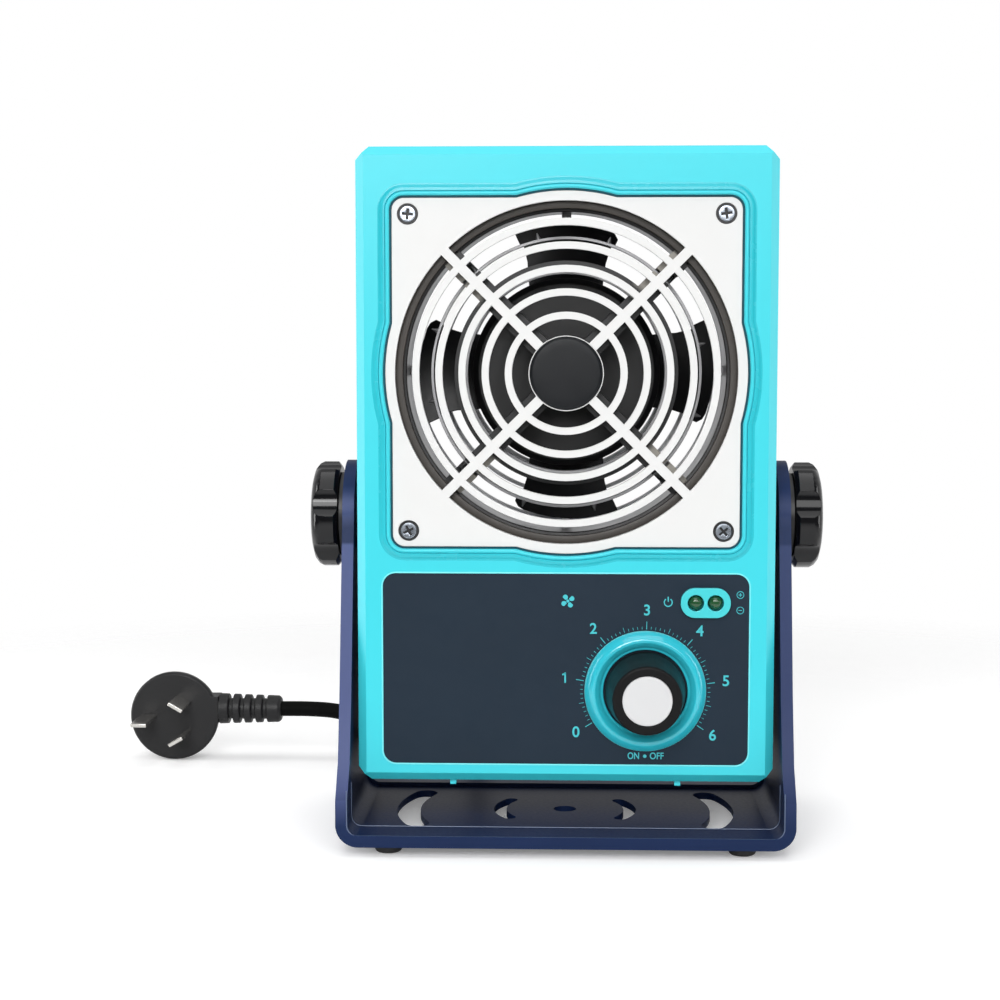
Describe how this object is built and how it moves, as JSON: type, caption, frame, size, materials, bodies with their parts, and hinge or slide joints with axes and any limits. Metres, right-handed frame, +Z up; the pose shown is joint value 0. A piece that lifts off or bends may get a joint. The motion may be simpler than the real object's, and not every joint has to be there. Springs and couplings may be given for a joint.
{
  "type": "ionizing blower",
  "caption": "Benchtop ionizing fan blower whose head tilts in a U-shaped stand, with finger guards, emitter ring, speed dial, clamp knobs and mains lead.",
  "frame": {"origin": "on the floor, under the middle of the tilt axis", "axes": "+X to the right, +Y towards the back, +Z up; the front faces -Y"},
  "size_m": [0.2646, 0.2125, 0.2342],
  "materials": {
    "stand_paint": "satin navy powder coat",
    "rubber": "matt black rubber",
    "bezel": "satin turquoise moulding",
    "housing": "fine-grained navy moulding",
    "steel": "bright zinc-plated steel",
    "guard": "smooth white moulding",
    "black_plastic": "black moulding",
    "guard_wire": "white-coated wire",
    "fan_metal": "die-cast, grey",
    "copper": "enamelled winding",
    "impeller": "black glass-filled plastic",
    "magnet": "sintered magnet",
    "label": "dark slate film, fine matt grain",
    "lamp_frame": "pale turquoise moulding",
    "lamp": "dark green diffused lens",
    "board": "green board",
    "gloss_black": "polished black plastic",
    "lead_red": "red silicone insulation",
    "brass": "bright brass",
    "lead": "black cable sheath",
    "plug": "matt black moulding"
  },
  "bodies": {
    "stand": {"stand_bracket": "stand_paint", "stand_feet": "rubber", "cord_lead": "lead", "cord_coil": "lead", "cord_tail": "lead", "plug_body": "plug", "plug_pins": "brass", "plug_relief": "plug"},
    "head": {"front_bezel": "bezel", "rear_housing": "housing", "housing_screws": "steel", "front_guard": "guard", "guard_cap": "black_plastic", "guard_washers": "black_plastic", "guard_screws": "steel", "rear_guard": "guard_wire", "rear_guard_screws": "steel", "emitter_carrier": "black_plastic", "emitter_ring": "steel", "emitter_needles": "steel", "counter_ring": "steel", "fan_frame": "fan_metal", "fan_stator": "copper", "fan_bearings": "steel", "control_label": "label", "dial_ring": "bezel", "led_bezel": "lamp_frame", "power_led": "lamp", "ion_led": "lamp", "control_board": "board", "board_screws": "steel", "potentiometer": "steel", "pot_nut": "steel", "power_module": "black_plastic", "hv_module": "black_plastic", "hv_lead": "lead_red", "pivot_inserts": "brass", "pivot_washers": "rubber", "cord_gland": "rubber"},
    "fan_rotor": {"impeller": "impeller", "rotor_magnet": "magnet", "rotor_shaft": "steel"},
    "dial": {"speed_knob": "gloss_black", "knob_cap": "guard", "pot_shaft": "steel"},
    "left_clamp": {"left_clamp_knob": "gloss_black", "left_clamp_stud": "steel", "left_clamp_washer": "black_plastic"},
    "right_clamp": {"right_clamp_knob": "gloss_black", "right_clamp_stud": "steel", "right_clamp_washer": "black_plastic"}
  },
  "joints": [
    {"name": "head_tilt", "type": "hinge", "parent": "stand", "child": "head", "pos_m": [0, 0, 0.11], "axis": [1, 0, 0], "range_deg": [-30, 60], "deforming": ["cord_lead"]},
    {"name": "fan_spin", "type": "hinge", "parent": "head", "child": "fan_rotor", "pos_m": [0, 0, 0.1594], "axis": [0, 1, 0], "continuous": true},
    {"name": "speed_turn", "type": "hinge", "parent": "head", "child": "dial", "pos_m": [0.0268, 0, 0.0531], "axis": [0, 1, 0], "range_deg": [0, 245]},
    {"name": "left_clamp_turn", "type": "hinge", "parent": "head", "child": "left_clamp", "pos_m": [-0.08, 0, 0.11], "axis": [-1, 0, 0], "range_deg": [0, 360]},
    {"name": "right_clamp_turn", "type": "hinge", "parent": "head", "child": "right_clamp", "pos_m": [0.08, 0, 0.11], "axis": [1, 0, 0], "range_deg": [0, 360]}
  ]
}
